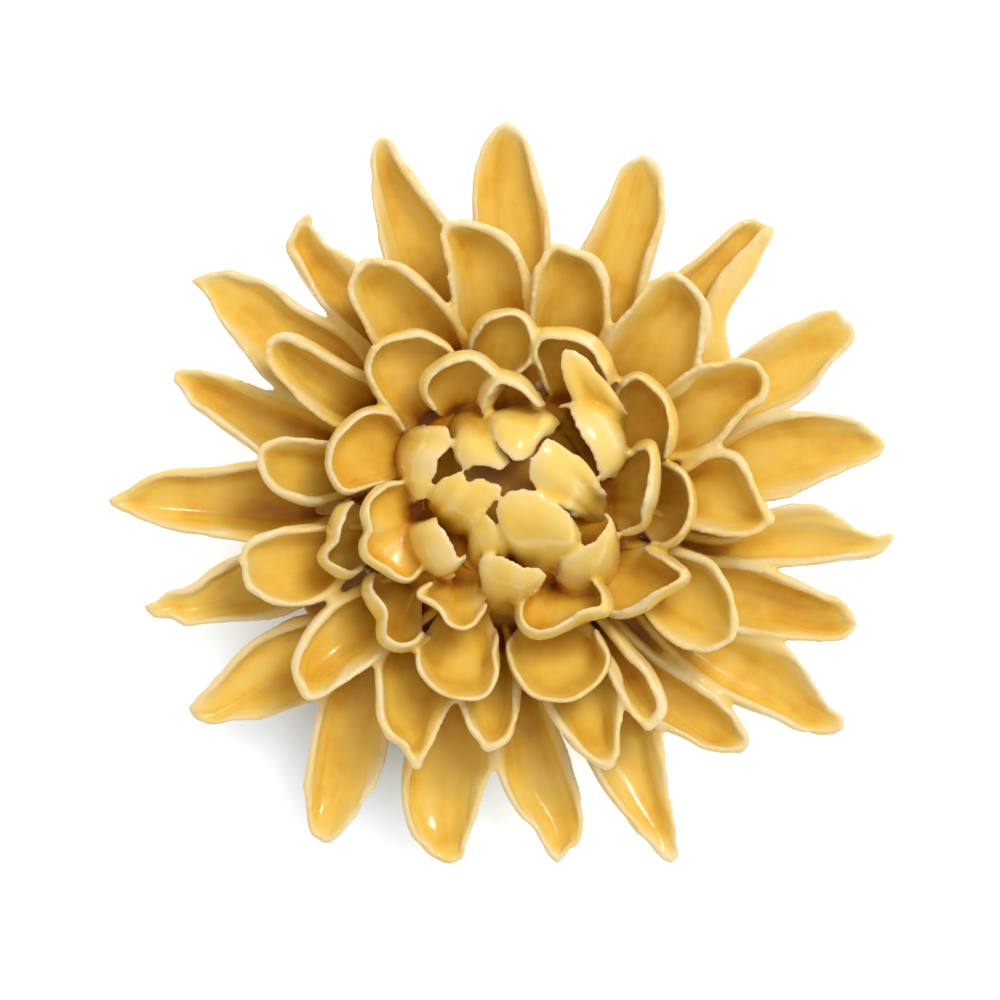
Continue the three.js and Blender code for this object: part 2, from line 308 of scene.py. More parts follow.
# What the channels of one row share unless a channel says otherwise. read holds the heights at which
# the rims' pixels are turned to millimetres, at the base and at the tip, and how far the keel's lie
# below. root is the radius of the roots on the dome, low and high the heights of the rims at the base
# and at the tip, depth how far below them the floor runs, and front how abruptly it rises to the tip.
# arm is the pull of the floor's and the rims' slopes as a share of the distance between them. wavy and
# ragged are how far the outline sways and is nicked.
CHANNEL_ROWS = {
    "outer": dict(
        read=(12, 14.5, 4), root=25, low=11.5, high=14.5, depth=5, front=7, arm=(0.45, 0.45),
        wavy=0.15, ragged=0.15,
    ),
    "second": dict(
        read=(18, 24, 5.6), root=21, low=14.5, high=24, depth=7, front=8, arm=(0.45, 0.45),
        wavy=0.15, ragged=0.2,
    ),
}

# The petals of the inner rows are sheets. Each runs from its foot, a line of points x, y on the dome, to
# its free rim, a smooth curve through points of x, y and height. curl is its slope at the rim, past 90
# where the rim hooks back over the hollow. Those of the heart lean in over it and show their backs.
THIRD = [
    dict(
        foot=[(-5, 18.5), (-2, 17.5), (1.5, 16.5)],
        rim=[
            (-5.3, 22, 23), (-4.5, 24.6, 25.5), (-3, 27, 27.5), (-0.5, 27.8, 28.5), (2.3, 27.6, 28.5),
            (4.3, 25.7, 28.5), (4.6, 23.1, 28), (3.8, 20.4, 27), (1.6, 18.4, 26),
        ],
        curl=112,
    ),
    dict(
        foot=[(7.5, 14.5), (11, 15), (15, 14)],
        rim=[
            (7.1, 15.7, 25), (5.9, 19.2, 27), (5.3, 22.3, 28.5), (6.2, 23.9, 29.5), (8.9, 23.9, 30.5),
            (11.7, 23.4, 31), (13.9, 22.1, 31), (15.5, 19.6, 30), (16.7, 16.3, 27),
        ],
        curl=125,
    ),
    dict(
        foot=[(17.5, 11), (18.5, 8), (19.5, 5)],
        rim=[
            (17.5, 14.4, 22), (18.6, 16.6, 25), (21.4, 17.7, 27), (23.3, 16.6, 28), (25.2, 14.1, 29),
            (26.3, 11.3, 29), (26.3, 8.5, 28), (25.2, 5.3, 25),
        ],
        curl=110,
    ),
    dict(
        foot=[(21.5, 1.5), (22, -1.5), (21, -5)],
        rim=[
            (24.9, 4.8, 23), (26.6, 4.1, 26), (28.4, 2.2, 27.5), (29.3, -0.5, 28), (29.3, -3.6, 28),
            (28.2, -6.5, 27), (26, -8.4, 25), (23.5, -7.9, 22),
        ],
        curl=100,
    ),
    dict(
        foot=[(19, -9.5), (17.5, -12), (14.5, -13.5)],
        rim=[
            (22.3, -8.8, 22), (24.6, -10.4, 25), (26.5, -11.8, 27), (28, -13.4, 28.5), (26, -14.8, 28.5),
            (23.8, -16, 28), (22.2, -17.7, 27), (19.9, -18.8, 25.5), (17, -18.7, 24), (15.3, -16.5, 23),
        ],
        curl=115,
    ),
    dict(
        foot=[(4, -19.5), (8, -20), (12, -19)],
        rim=[
            (1.7, -22.9, 20), (0.9, -25.4, 23), (1.5, -28.3, 25.5), (3.6, -31.2, 27), (7.1, -32.8, 28),
            (11.1, -32.6, 28), (14.7, -30.5, 27.5), (16.5, -27.3, 26.5), (15.7, -24.3, 24.5),
            (14.7, -21.9, 22),
        ],
        curl=90,
    ),
    dict(
        foot=[(-10.5, -19), (-6.5, -19.5), (-2.5, -19)],
        rim=[
            (-11.7, -23, 20), (-13.4, -24.8, 23), (-13.6, -27.3, 25), (-12, -30.5, 26.5),
            (-9.3, -32.2, 27.5), (-6.1, -33, 28), (-2.9, -32, 27.5), (-1.3, -29, 26.5),
            (-1.2, -25.1, 24), (-1, -22.5, 21),
        ],
        curl=85,
    ),
    dict(
        foot=[(-17.5, -13.5), (-15.5, -15.5), (-13, -16.5)],
        rim=[
            (-20.3, -13, 23), (-20.8, -15.1, 26), (-19.7, -16.8, 28), (-18.6, -18.7, 28.5),
            (-18.9, -20.9, 28), (-18.8, -22.8, 26.5), (-16.7, -23.9, 26), (-14.4, -23.6, 25.5),
            (-12.8, -22, 23.5),
        ],
        curl=115,
    ),
    dict(
        foot=[(-21, -3.5), (-21.5, -6.5), (-20, -9.5)],
        rim=[
            (-23.8, -1.6, 24), (-25, -3.5, 26.5), (-25.7, -6, 28), (-26, -7.7, 28), (-27.2, -8.8, 27.5),
            (-28, -10.2, 26.5), (-26.6, -11.9, 25.5), (-24.6, -12.6, 24.5), (-22.2, -11.8, 23),
        ],
        curl=115,
    ),
    dict(
        foot=[(-16, 7.5), (-17, 5), (-16, 2.5)],
        rim=[
            (-15.9, 9.4, 23), (-18.1, 12.1, 26), (-20.6, 12.7, 28), (-23.8, 11.3, 29), (-26.1, 8.6, 29),
            (-27.1, 5.8, 28.5), (-26.9, 3, 28), (-25.4, 0.5, 27), (-22.5, 0.8, 25.5), (-18.6, 1.6, 24),
        ],
        curl=108,
    ),
    dict(
        foot=[(-13.5, 9.5), (-12, 12), (-9.5, 13.5)],
        rim=[
            (-15.5, 9.4, 22), (-17.5, 12.6, 25), (-19.7, 15.7, 27), (-21, 19.5, 28), (-20.2, 22.3, 29),
            (-16.6, 24.2, 29.5), (-13.6, 24.8, 29.5), (-10, 23.1, 29), (-7.6, 21, 28),
        ],
        curl=110,
    ),
]

FOURTH = [
    dict(
        foot=[(-9.5, 11.5), (-7.5, 13.2), (-4.5, 12.3)],
        rim=[
            (-10.9, 12.6, 28), (-12, 15.7, 30.5), (-11.5, 17.9, 31.5), (-10.3, 18.8, 32),
            (-7.6, 20.3, 33), (-4.9, 20.6, 33), (-2.6, 19.3, 32.5), (-1, 17.3, 32), (-2.4, 14.4, 30.5),
            (-3.5, 12.4, 29),
        ],
        curl=118,
    ),
    dict(
        foot=[(-2.8, 12.3), (1, 13.4), (5.5, 12.8), (8, 12)],
        rim=[
            (-3.2, 12.9, 29.5), (-2.1, 15.1, 31.5), (-0.5, 17, 33), (1.8, 16.3, 34), (3.8, 15.1, 34.5),
            (5.4, 13.8, 34), (6.8, 13.7, 31),
        ],
        curl=125, arm=0.55,
    ),
    dict(
        foot=[(17, 2), (17.5, -1), (17, -4)],
        rim=[
            (19.5, 5.3, 26), (21.4, 6.8, 29), (22.8, 6.6, 31.5), (23, 3.8, 32), (22.7, 0.9, 32),
            (22.1, -1.3, 31.5), (21.7, -2.8, 30), (21.4, -5.2, 26.5), (18.6, -6.3, 24.5),
        ],
        curl=118,
    ),
    dict(
        foot=[(6, -14.5), (9, -14.8), (12, -13.5)],
        rim=[
            (4.5, -15.7, 24), (2.9, -17.9, 26), (3.2, -20.3, 28), (5.1, -22, 29), (7.1, -21.8, 29.5),
            (9.7, -20.4, 30), (12.3, -18.8, 30.5), (15.5, -18.2, 30), (15.2, -15.7, 28),
            (13.9, -13.8, 26),
        ],
        curl=118,
    ),
    dict(
        foot=[(-9.5, -13.5), (-7, -14.5), (-4, -14)],
        rim=[
            (-11.5, -14.1, 26.5), (-13.4, -16.5, 29), (-11.5, -17.6, 29.5), (-9.8, -18.7, 30),
            (-8.6, -20.7, 30), (-6.7, -21.5, 29.5), (-4.8, -21, 29), (-3.7, -19.5, 27.5),
            (-3.2, -17.6, 25),
        ],
        curl=90,
    ),
    dict(
        foot=[(-13.5, 0), (-14, -3.5), (-12, -7.5)],
        rim=[
            (-15.9, 1.3, 27), (-18.8, 0.5, 29.5), (-20.6, -1.4, 31), (-21.4, -3.5, 31.5),
            (-21, -5, 31.5), (-20.5, -6, 31.5), (-21.4, -7.5, 31), (-21.7, -9.4, 30), (-19.4, -11.6, 29),
            (-17, -13, 28.5), (-15, -13.5, 28), (-12.8, -11.9, 26),
        ],
        curl=115,
    ),
]

LEANING = [
    dict(
        foot=[(1.4, -9.5), (4.2, -12.4), (9, -12.2), (12.4, -9.2)],
        rim=[
            (0.4, -5.6, 32), (-0.9, -2.2, 34.5), (2, 0.6, 36), (4.5, 0.2, 36), (9.5, -2.8, 35),
            (12, -6.2, 31),
        ],
        rise=75, curl=5,
    ),
    dict(
        foot=[(16.6, -1.4), (15.8, -4), (12.9, -4.6)],
        rim=[
            (14.7, 1.9, 31), (11.3, 5.6, 34), (6.3, 8.1, 36.5), (5.1, 6.2, 37), (3.7, 3.1, 36),
            (5.7, 0, 35), (8.8, -2.2, 32.5),
        ],
        rise=70, curl=2,
    ),
    dict(
        foot=[(-2.5, 12), (1, 13.4), (5.8, 13.6), (9.2, 11)],
        rim=[
            (-2.4, 9.7, 31), (-1.3, 8.1, 34.5), (0, 6.1, 36), (1.6, 5.1, 36.5), (3.7, 5, 36),
            (5.7, 7.5, 35), (7.6, 9, 31),
        ],
        rise=75, curl=5,
    ),
    dict(
        foot=[(-8.6, 8), (-7.4, 11.4), (-4, 12.8), (-2.4, 11.4)],
        rim=[
            (-7.1, 4.7, 30), (-5.7, 3.3, 33.5), (-4.3, 4.1, 34.5), (-2.4, 3.9, 35), (-0.5, 3.3, 35),
            (1, 4.1, 34.5), (-0.5, 6.6, 33.5), (-1.8, 8.4, 31),
        ],
        rise=72, curl=5,
    ),
    dict(
        foot=[(-12, -1), (-11.2, -3.2), (-8.8, -6), (-5.3, -7)],
        rim=[
            (-11.5, 0.3, 28.5), (-9, 2.3, 32), (-6.2, 3.1, 33.5), (-5.7, 1.6, 33.8), (-3.7, 2.2, 34.2),
            (-1.2, 1.4, 34.5), (-0.2, 0.3, 34.5), (-2.1, -1.7, 34), (-4, -3.3, 31),
        ],
        rise=70, curl=4,
    ),
    dict(
        foot=[(-5.8, -7.6), (-4.6, -10.6), (-1.8, -12), (1, -10.4)],
        rim=[
            (-4.8, -4.7, 29.5), (-4.1, -3.4, 32.5), (-3.2, -3.1, 33.2), (-1.8, -4.5, 33.2),
            (0.2, -5.8, 31.5),
        ],
        rise=78, curl=25,
    ),
    dict(
        foot=[(-3.2, -16), (-0.9, -19), (2.6, -18.8), (5.2, -15.9)],
        rim=[
            (-3.5, -12.2, 27), (-3.2, -10, 30.5), (-1.6, -9.8, 31.2), (0.7, -10.6, 31.4),
            (3.2, -11.7, 31.2), (5.7, -12.2, 31), (6.8, -13.1, 29.5),
        ],
        rise=70, curl=25,
    ),
    dict(
        foot=[(8.3, -14), (12.1, -16.6), (17.2, -14), (18.8, -8.4)],
        rim=[
            (8.5, -11.5, 27), (9.2, -10.5, 30), (11.7, -9.4, 31), (14.2, -7.8, 31.5), (16, -5.9, 31.5),
            (16.7, -4.4, 31), (15.7, -3.3, 29.5),
        ],
        rise=80, curl=45,
    ),
    dict(
        foot=[(11.4, 14), (16.3, 13.8), (19.5, 8.3), (17.9, 2.2)],
        rim=[
            (8.4, 13, 28.5), (10.4, 13.1, 31), (10.9, 11.3, 33), (12.6, 8.5, 34), (13.7, 6.1, 34),
            (14.6, 4.1, 33), (14.9, 2, 29.5),
        ],
        rise=75, curl=20,
    ),
    dict(
        foot=[(13.1, 11.5), (16.3, 8.6), (18.8, 9), (19.8, 12.7)],
        rim=[
            (12.6, 12.7, 27), (10.7, 15.7, 30), (9, 19.8, 32), (9.6, 22.5, 32.5), (11.7, 22, 32.5),
            (15.2, 18.2, 31.5), (17, 14.8, 28),
        ],
        rise=70, curl=10,
    ),
    dict(
        foot=[(-12.5, 10.5), (-16, 9), (-16.4, 3.5), (-13.9, -1.6)],
        rim=[
            (-9.9, 9.7, 28), (-8.5, 9.4, 30.5), (-8.2, 7.5, 31), (-9.8, 5.6, 31.5), (-10.4, 3.4, 31),
            (-11.3, 1.6, 30.5), (-12.1, -0.9, 28.5),
        ],
        rise=78, curl=15,
    ),
    dict(
        foot=[(-11.8, -4.5), (-14.8, -5.7), (-13.6, -11.8), (-8.5, -14.6)],
        rim=[
            (-10.4, -3.9, 29), (-9.9, -5.5, 30.5), (-8.7, -6.9, 31), (-8, -8.7, 31), (-6.9, -10.5, 30.5),
            (-5.7, -9.8, 28.5),
        ],
        rise=78, curl=15,
    ),
]

SHEETS = {"third": THIRD, "fourth": FOURTH, "leaning": LEANING}

# What the sheets of one row share unless a sheet says otherwise: rise is the slope at the foot, arm the
# pull of the two slopes as a share of the distance from foot to rim, and lip the thickness of the rim.
SHEET_ROWS = {
    "third": dict(rise=38, arm=0.5, lip=0.7, wavy=0.15, ragged=0.4),
    "fourth": dict(rise=42, arm=0.5, lip=0.7, wavy=0.15, ragged=0.45),
    "leaning": dict(rise=75, arm=0.4, lip=0.7, wavy=0.2, ragged=0.5),
}


def dome_height(radius):
    """Height of the dome's skin at a distance from the axis."""
    radii, heights = np.array(DOME[::-1], float).T
    return np.interp(radius, radii, heights)


def unit(vectors):
    """Vectors scaled to length one."""
    return vectors / np.maximum(np.linalg.norm(vectors, axis=-1, keepdims=True), 1e-12)


def waves(rng, count, lowest, highest):
    """A smooth random function of one number: a sum of sines of rising pitch and falling height."""
    pitch = np.geomspace(lowest, highest, count)
    phase = rng.uniform(0, 2 * math.pi, count)
    size = rng.uniform(0.5, 1.0, count) / np.sqrt(np.arange(1, count + 1))

    def wave(x):
        return np.tensordot(size, np.sin(pitch[:, None, None] * x + phase[:, None, None]), 1) / size.sum()

    return wave


def seen_at(pixels, height):
    """Places x, y of pixels on the level plane at a height, to 0.1 mm: a pixel is as wide as its share of
    the sensor, times the distance from the camera over the focal length."""
    scale = SENSOR / (LENS * FRAME) * (CAMERA[2] - height)
    return np.round(np.array(CAMERA[:2]) + (pixels - FRAME / 2) * (1, -1) * scale, 1)


def nearest_on(line, points):
    """For each point, the nearest place on a line of straight stretches."""
    start, step = line[:-1], np.diff(line, axis=0)
    share = np.clip(((points[:, None] - start) * step).sum(-1) / (step * step).sum(-1), 0, 1)
    places = start + share[..., None] * step
    nearest = np.argmin(np.linalg.norm(points[:, None] - places, axis=-1), axis=1)
    return places[np.arange(len(points)), nearest]


def in_millimetres(c):
    """A channel petal with its pixels turned to millimetres, at heights that rise evenly to the tip. The
    rims are drawn in towards the keel by their insets, which shrink by up to six tenths with the cube of
    the way to the tip, and the tip is moved out by a pixel."""
    low, high, drop = c["read"]
    keel, tip = np.array(c["keel"], float), np.array(c["tip"], float)
    insets = c.get("inset", [INSET + CURL_INSET * max(0, curl - STEEP) for curl in c["curl"]])
    placed = {}
    for name, inset in zip(("left", "right"), insets):
        rim = np.array(c[name], float)
        share = (np.arange(len(rim)) / len(rim))[:, None]
        inwards = unit(nearest_on(np.vstack([keel, tip]), rim) - rim)
        placed[name] = seen_at(rim + inwards * inset * (1 - 0.6 * share**3), low + (high - low) * share)
    share = (np.arange(len(keel)) / len(keel))[:, None]
    placed["keel"] = seen_at(keel, low + (high - low) * share - drop)
    placed["tip"] = seen_at(tip + unit(tip - keel[-1]), high)
    return {**c, **placed}


def curve_through(points, t):
    """Smooth curve through points at shares t of its chord length: between two points a cubic whose
    slopes at them follow their neighbours."""
    points = np.array(points, float)
    chords = np.linalg.norm(np.diff(points, axis=0), axis=1)
    places = np.concatenate([[0], np.cumsum(chords)]) / chords.sum()
    slopes = np.gradient(points, places, axis=0)
    k = np.clip(np.searchsorted(places, t, side="right") - 1, 0, len(places) - 2)
    gap = (places[k + 1] - places[k])[:, None]
    u = (t - places[k])[:, None] / gap
    start, end = points[k], points[k + 1]
    return (
        (1 + 2 * u) * (1 - u) ** 2 * start
        + u * (1 - u) ** 2 * gap * slopes[k]
        + u * u * (3 - 2 * u) * end
        + u * u * (u - 1) * gap * slopes[k + 1]
    )


def bezier(start, leave, arrive, end, u):
    """Cubic Bezier curve at a share u of the way."""
    r = 1 - u
    return r**3 * start + 3 * r * r * u * leave + 3 * r * u * u * arrive + u**3 * end


def channel_sheet(c, s, v):
    """Middle surface of a channel petal: at each share s of the way from base to tip, cubic Bezier curves
    run from the floor, level across it, up to the left rim (v above 0) and to the right rim. Each line
    starts at the root, where it has come halfway to the floor's bearing."""
    middle = unit(np.array(c["keel"][0]))
    lines = []
    for name in ("left", "right", "keel"):
        root = c["root"] * unit(unit(np.array(c[name][0])) + middle)
        lines.append(curve_through([root, *c[name], c["tip"]], s))
    left, right, floor = lines
    height = c["low"] + (c["high"] - c["low"]) * np.sin(math.pi / 2 * s)
    floor_height = height - c["depth"] * (1 - s ** c["front"])
    left, right = (np.column_stack([line, height])[:, None] for line in (left, right))
    floor = np.column_stack([floor, floor_height])[:, None]
    side = np.where(v > 0, 1.0, -1.0)[None, :, None]
    edge = np.where(side > 0, left, right)
    across = side * unit(left - right)
    up = np.array([0.0, 0.0, 1.0])
    curl = np.radians(np.where(side > 0, c["curl"][0], c["curl"][1]))
    arm = np.where(side > 0, c["arm"][0], c["arm"][1])
    pull = arm * np.linalg.norm(edge - floor, axis=-1, keepdims=True)
    leave = floor + pull * across
    arrive = edge - pull * (np.cos(curl) * across + np.sin(curl) * up)
    return bezier(floor, leave, arrive, edge, np.abs(v)[None, :, None])


def spread_sheet(h, s, t):
    """Middle surface of a petal of the inner rows: from each point of the foot a cubic Bezier curve runs to
    the point of the rim at the same share t, leaving at the slope rise and arriving at the slope curl."""
    foot, rim = curve_through(h["foot"], t), curve_through(h["rim"], t)
    on_dome = dome_height(np.hypot(foot[:, 0], foot[:, 1])) - SINK / 2
    foot = np.concatenate([foot, on_dome[:, None]], axis=1)
    run = rim - foot
    run[:, 2] = 0
    out = unit(run)
    up = np.array([0.0, 0.0, 1.0])
    arm = h["arm"] * np.linalg.norm(rim - foot, axis=1, keepdims=True)
    rise, curl = math.radians(h["rise"]), math.radians(h["curl"])
    leave = foot + arm * (math.cos(rise) * out + math.sin(rise) * up)
    arrive = rim - arm * (math.cos(curl) * out + math.sin(curl) * up)
    return bezier(foot, leave, arrive, rim, s[:, None, None])


def cross_normals(middle):
    """Normals of a grid of points: the cross product of its two directions."""
    return unit(np.cross(np.gradient(middle, axis=1), np.gradient(middle, axis=0)))


def thickened(middle, normal, from_rim, lip, note):
    """Closed shell of a sheet: it is thickened to both sides, thinner and rounded towards the rims, and
    the two faces are joined by a band round the border."""
    rows, columns = from_rim.shape
    grow = np.clip((from_rim - lip / 2) / THINNING, 0, 1)
    half = (lip + (CLAY - lip) * grow * (2 - grow)) / 2
    rounding = np.clip(from_rim / (lip / 2), 0, 1)
    half = half * np.sqrt(1 - (1 - rounding) ** 2)
    front = middle + normal * half[..., None]
    back = middle - normal * half[..., None]
    vertices = np.concatenate([front.reshape(-1, 3), back.reshape(-1, 3)])
    grid = np.arange(rows * columns).reshape(rows, columns)
    quads = np.stack([grid[:-1, :-1], grid[:-1, 1:], grid[1:, 1:], grid[1:, :-1]], -1).reshape(-1, 4)
    border = np.concatenate([grid[0, :-1], grid[:-1, -1], grid[-1, :0:-1], grid[:0:-1, 0]])
    onward = np.roll(border, -1)
    size = rows * columns
    band = np.stack([onward, border, border + size, onward + size], -1)
    faces = np.concatenate([quads, quads[:, ::-1] + size, band])
    corners = vertices[faces]
    volume = np.einsum("ij,ij->", corners[:, 0], np.cross(corners[:, 1], corners[:, 2]))
    if volume < 0:
        faces = faces[:, ::-1]
    return vertices, faces, np.concatenate([note, note])


def shaped_by_hand(middle, normal, from_rim, girth, along, across, wavy, ragged, rng):
    """The sheet with the marks of thumbs and knife: its outline sways and is nicked, its rim lifts and
    dips, and soft creases and lumps run along it, all as sums of sines that fade away from the rim."""
    ahead = unit(np.gradient(middle, axis=0))
    outward = unit(np.gradient(middle, axis=1))
    push = outward * (across**3)[..., None] + ahead * (along**6 * (1 - np.abs(across) ** 3))[..., None]
    free = np.clip(along / 0.25, 0, 1)
    sway = waves(rng, 4, 0.35, 1.1)(girth) * free * np.exp(-from_rim / 3.0)
    nicks = waves(rng, 7, 1.2, 8.0)(girth) * free * np.exp(-from_rim / 0.8)
    lift = waves(rng, 4, 0.3, 1.1)(girth) * free * np.exp(-from_rim / 2.2)
    crease = waves(rng, 4, 2.5, 7)(across * (1 + 0.15 * along)) * np.clip(along / 0.2, 0, 1)
    lumps = waves(rng, 4, 2, 8)(along * 2 + across)
    middle = middle + push * (wavy * sway + ragged * nicks)[..., None]
    return middle + normal * (0.5 * lift + 0.12 * crease + 0.12 * lumps * along)[..., None]


def note_of(from_rim, along, across, rng):
    """What a shell's points carry to the skin: distance from the rim as a share of NOTED, shares along
    and across, and the petal's tint."""
    tint = np.full(from_rim.shape, rng.uniform())
    return np.stack([np.clip(from_rim / NOTED, 0, 1), along, across * 0.5 + 0.5, tint], -1).reshape(-1, 4)


def moulded(middle, s, v, p, rng):
    """Closed shell of a petal from its middle surface on a grid of shares s along and v across."""
    normal = cross_normals(middle)
    along = np.broadcast_to(s[:, None], middle.shape[:2])
    across = np.broadcast_to(v[None, :], middle.shape[:2])
    width = np.pad(np.cumsum(np.linalg.norm(np.diff(middle, axis=1), axis=2), axis=1), ((0, 0), (1, 0)))
    length = np.pad(np.cumsum(np.linalg.norm(np.diff(middle, axis=0), axis=2), axis=0), ((1, 0), (0, 0)))
    from_end = length[-1:] - length
    from_rim = np.minimum(np.minimum(width, width[:, -1:] - width), from_end)
    girth = width - width[:, -1:] / 2 + from_end * across**2 * np.sign(across)
    middle = shaped_by_hand(middle, normal, from_rim, girth, along, across, p["wavy"], p["ragged"], rng)
    lip = p["lip"] * (1 + 0.55 * waves(rng, 6, 0.3, 2.5)(girth))
    return thickened(middle, normal, from_rim, lip, note_of(1.1 * from_rim / lip, along, across, rng))


def channel_shell(c, rng):
    """Closed shell of one petal of the two lower rows, whose rims are thicker where they hook."""
    s = 1 - np.linspace(1, 0, 80 // COARSE) ** 1.6
    s[-1] = 0.998
    v = np.sin(np.linspace(-math.pi / 2, math.pi / 2, 48 // COARSE + 1))
    left, right = (0.8 + 0.008 * max(0, curl - 40) for curl in c["curl"])
    lip = (left + right) / 2 + (left - right) / 2 * v
    return moulded(channel_sheet(c, s, v), s, v, {**c, "lip": lip}, rng)


def sheet_shell(h, rng):
    """Closed shell of one petal of the inner rows."""
    s = np.sin(np.linspace(0, math.pi / 2, 48 // COARSE))
    v = np.sin(np.linspace(-math.pi / 2, math.pi / 2, 56 // COARSE + 1))
    return moulded(spread_sheet(h, s, v * 0.5 + 0.5), s, v, h, rng)


def turned_shell(profile, sides=160):
    """Closed body of revolution: the profile, as radius and height, is carried round the axis."""
    radius, height = np.array(profile, float).T
    turn = np.linspace(0, 2 * math.pi, sides, endpoint=False)
    ring = np.stack([np.cos(turn), np.sin(turn)], -1)
    around = radius[:, None, None] * ring[None]
    up = np.broadcast_to(height[:, None, None], (len(radius), sides, 1))
    points = np.concatenate([around, up], -1)
    grid = np.arange(len(radius) * sides).reshape(len(radius), sides)
    after = np.roll(grid, -1, axis=1)
    closed = radius[0] > 0
    upper = np.roll(grid, -1, axis=0) if closed else grid[1:]
    upper_after = np.roll(after, -1, axis=0) if closed else after[1:]
    lower, lower_after = (grid, after) if closed else (grid[:-1], after[:-1])
    faces = np.stack([lower, lower_after, upper_after, upper], -1).reshape(-1, 4)
    note = np.tile([1.0, 0.0, 0.5, 0.5], (points.shape[0] * sides, 1))
    return points.reshape(-1, 3), faces, note


def smooth_profile(profile, rounds=3):
    """Corner-cut profile: each round keeps the ends and cuts every corner at a quarter of its sides."""
    line = np.array(profile, float)
    for _ in range(rounds):
        first, second = line[:-1] * 0.75 + line[1:] * 0.25, line[:-1] * 0.25 + line[1:] * 0.75
        middle = np.stack([first, second], 1).reshape(-1, 2)
        line = np.concatenate([line[:1], middle, line[-1:]])
    return line


def dome_band(inner, outer):
    """Closed ring of the dome's skin between two radii, BAND thick; a cap where the inner one is zero."""
    radii = np.linspace(outer, inner, 12)
    top = np.stack([radii, dome_height(radii)], -1)
    under = top[::-1] - (0, BAND)
    return turned_shell(np.concatenate([under, top]))


def welded(mesh):
    """Coincident points of the mesh are made one, which closes the poles of a turned body."""
    work = bmesh.new()
    work.from_mesh(mesh)
    bmesh.ops.remove_doubles(work, verts=work.verts, dist=0.001 * MM)
    work.to_mesh(mesh)
    work.free()
    return mesh


def mesh_of(name, shells):
    """One mesh, in metres, of several closed shells, with their notes in a colour attribute."""
    counts = np.cumsum([0] + [len(shell[0]) for shell in shells[:-1]])
    vertices = np.concatenate([shell[0] for shell in shells]) * MM
    faces = np.concatenate([shell[1] + start for shell, start in zip(shells, counts)])
    notes = np.concatenate([shell[2] for shell in shells])
    mesh = bpy.data.meshes.new(name)
    mesh.from_pydata(vertices, [], faces.tolist())
    layer = mesh.color_attributes.new("clay", "FLOAT_COLOR", "POINT")
    layer.data.foreach_set("color", notes.astype(np.float32).ravel())
    return mesh


def laplacian(points, edges, degree):
    """For each vertex, the mean of its neighbours' places or marks less its own."""
    total = np.empty_like(points)
    for axis in range(points.shape[1]):
        near = points[:, axis]
        total[:, axis] = np.bincount(edges[:, 0], near[edges[:, 1]], len(points))
        total[:, axis] += np.bincount(edges[:, 1], near[edges[:, 0]], len(points))
    return total / degree[:, None] - points


def vertex_normals(points, quads):
    """Normals of a quad mesh: the cross products of the quads' diagonals, summed at their corners."""
    cross = np.cross(points[quads[:, 2]] - points[quads[:, 0]], points[quads[:, 3]] - points[quads[:, 1]])
    total = np.zeros_like(points)
    for corner in range(4):
        for axis in range(3):
            total[:, axis] += np.bincount(quads[:, corner], cross[:, axis], len(points))
    return unit(total)


def smoothed(values, edges, degree, rounds, share=0.5):
    """Values drawn towards the mean of their neighbours by a share, a number of times over."""
    for _ in range(rounds):
        values = values + share * laplacian(values, edges, degree)
    return values


def filleted(points, quads, edges, degree, voxel):
    """Creases filled as glaze fills them: a point that lies deeper below the mean of its neighbours than
    a fillet of radius FILLET would put it is raised along its normal, over and over, and then the skin
    is smoothed a little, with a step back that keeps its thickness."""
    least = voxel**2 / (4 * FILLET)
    for _ in range(FILL_ROUNDS):
        normal = vertex_normals(points, quads)
        pull = laplacian(points, edges, degree)
        depth = np.einsum("ij,ij->i", pull, normal)
        raised = np.maximum(0, depth - least)
        points = points + 0.6 * raised[:, None] * normal + 0.15 * (pull - depth[:, None] * normal)
    for _ in range(SMOOTH_ROUNDS):
        points = points + 0.5 * laplacian(points, edges, degree)
        points = points - 0.52 * laplacian(points, edges, degree)
    return points


def glaze_marks(points, quads, edges, degree, clay, voxel):
    """What the glaze colour depends on, as two colours a vertex. rim: how far the skin stands proud of
    its smoothed self, so sharp edges, where molten glaze runs thin, and nearness to the petal's rim,
    strong on the lip and fading over the wall; neither near the root. The hollow mark: how far it lies
    below a much smoother self, so hollows, where glaze gathers and where the shade in them is painted
    as well. root: nearness to the dome and the root, where glaze gathers in the joints and where the
    shade under the next row is painted as well. Then the petal's own tint, its share along and across,
    and the distance from its rim."""
    normal = vertex_normals(points, quads)
    close = smoothed(points, edges, degree, round((EDGE_REACH / voxel) ** 2))
    wide = smoothed(close, edges, degree, round((POOL_REACH / voxel) ** 2))
    proud = np.einsum("ij,ij->i", points - close, normal)
    sunk = np.einsum("ij,ij->i", wide - points, normal)
    rim = smoothed(np.clip(proud / PROUD, 0, 1)[:, None], edges, degree, 2)[:, 0]
    # Hollows: deeper glaze, and painted shade where shade falls in them.
    pooled_glaze_and_shade = smoothed(np.clip(sunk / SUNK, -0.25, 1)[:, None], edges, degree, 4)[:, 0] * 0.5 + 0.5
    clay = smoothed(clay, edges, degree, 3)
    radius = np.hypot(points[:, 0], points[:, 1])
    above = points[:, 2] - dome_height(radius) - 0.5
    # Joints with the dome and petal roots: gathered glaze, and the painted shade under the next row.
    joint_glaze_and_shade = np.clip(1 - above / JOINT_REACH, 0, 1) * np.clip((DOME_REACH - radius) / 3, 0, 1)
    root = np.maximum(joint_glaze_and_shade, 0.7 * np.clip(1 - clay[:, 1] / 0.5, 0, 1))
    lip = 0.6 * np.clip(1 - clay[:, 0] / 0.35, 0, 1) + 0.4 * (1 - np.clip(clay[:, 0], 0, 1))
    lip = lip * np.clip(clay[:, 1] / 0.35 - 0.3, 0, 1)
    rim = np.clip(0.25 * rim + 0.8 * lip, 0, 1)
    grain = np.stack([clay[:, 1], clay[:, 2], clay[:, 0], root], -1)
    return np.stack([rim, pooled_glaze_and_shade, root, clay[:, 3]], -1), grain


